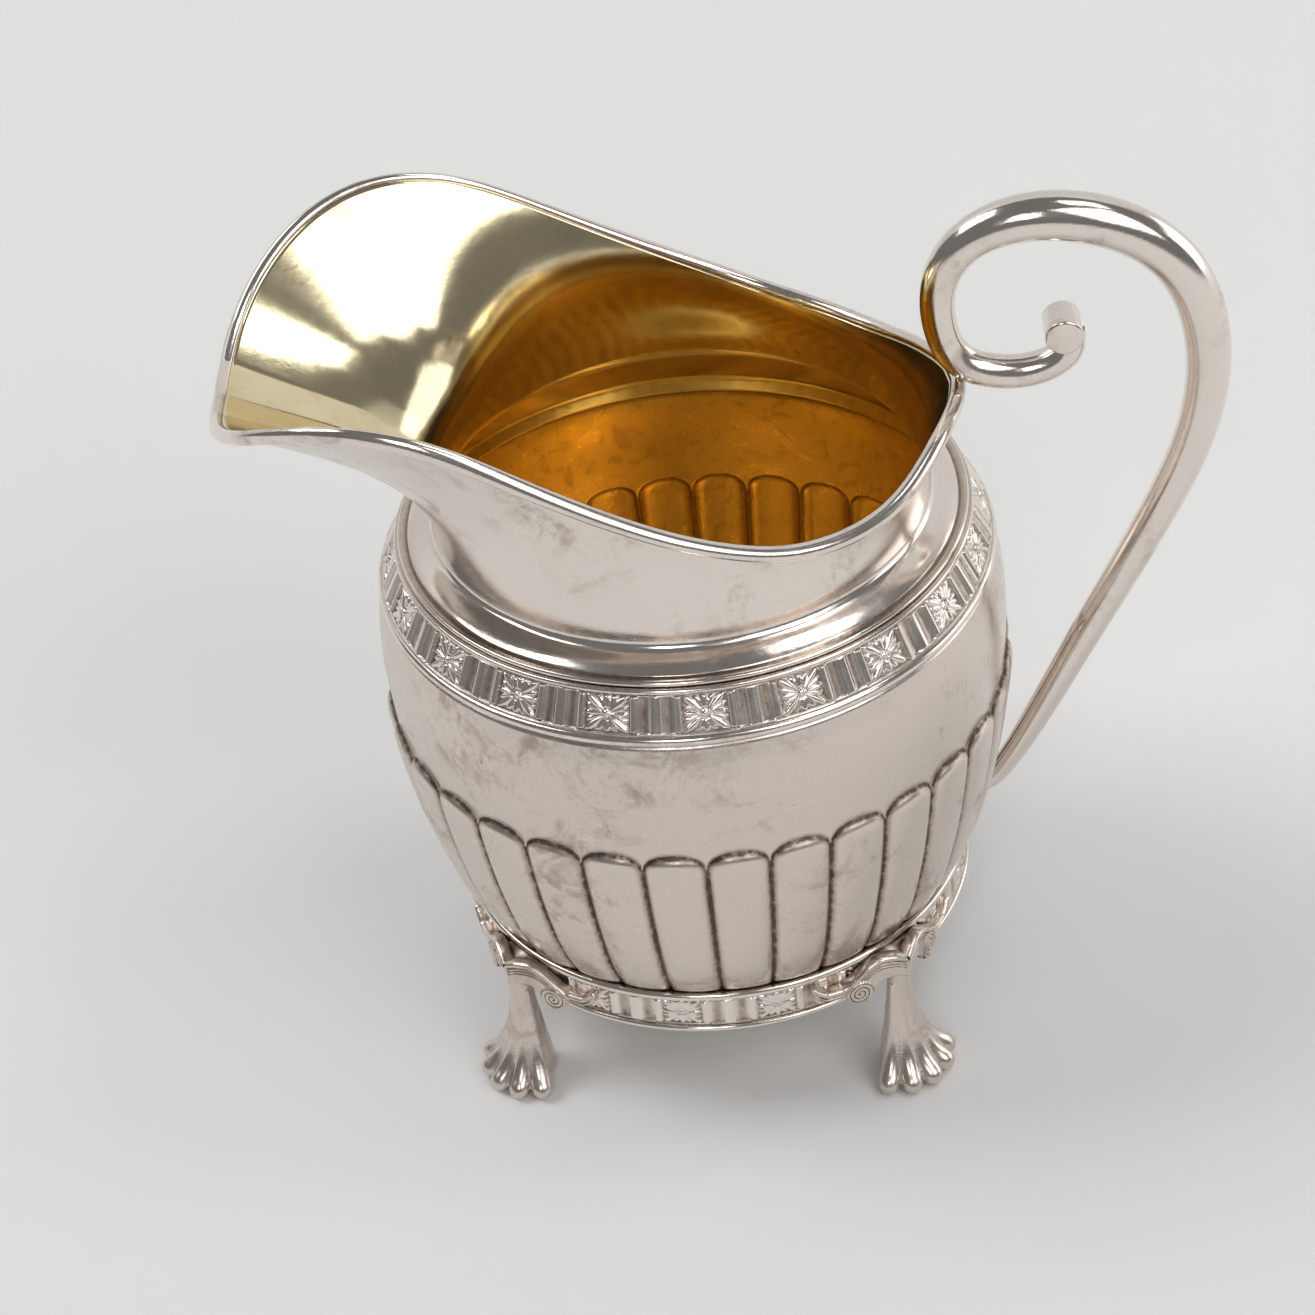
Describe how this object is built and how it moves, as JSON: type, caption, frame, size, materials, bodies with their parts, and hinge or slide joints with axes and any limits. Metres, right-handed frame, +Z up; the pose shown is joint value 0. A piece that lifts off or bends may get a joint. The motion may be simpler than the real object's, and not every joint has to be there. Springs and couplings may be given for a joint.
{
  "type": "cream jug",
  "caption": "Footed silver cream jug with a lobed bowl, milled rosette band, broad pouring lip, scroll handle and paw feet under scroll brackets",
  "frame": {"origin": "on the table, under the middle of the jug's overall length and width", "axes": "+Z up, +X from the spout towards the handle, +Y across the jug"},
  "size_m": [0.1308, 0.0855, 0.1214],
  "materials": {
    "satin_silver": "satin silver, gilt inside",
    "polished_silver": "polished silver, gilt inside the lip",
    "milled_silver": "milled silver, darkened in the hollows",
    "cast_silver": "cast silver, darkened in the hollows"
  },
  "bodies": {
    "root": {"bowl": "satin_silver", "neck": "polished_silver", "rim_wire": "polished_silver", "shoulder_bead_lower": "milled_silver", "shoulder_band": "milled_silver", "shoulder_bead_middle": "milled_silver", "shoulder_bead_top": "milled_silver", "base_wire": "milled_silver", "base_band": "milled_silver", "base_bead": "milled_silver", "handle": "polished_silver", "scroll_eye": "polished_silver", "paw_1": "cast_silver", "paw_2": "cast_silver", "paw_3": "cast_silver", "paw_4": "cast_silver", "bracket_1": "cast_silver", "bracket_2": "cast_silver", "bracket_3": "cast_silver", "bracket_4": "cast_silver"}
  },
  "joints": []
}
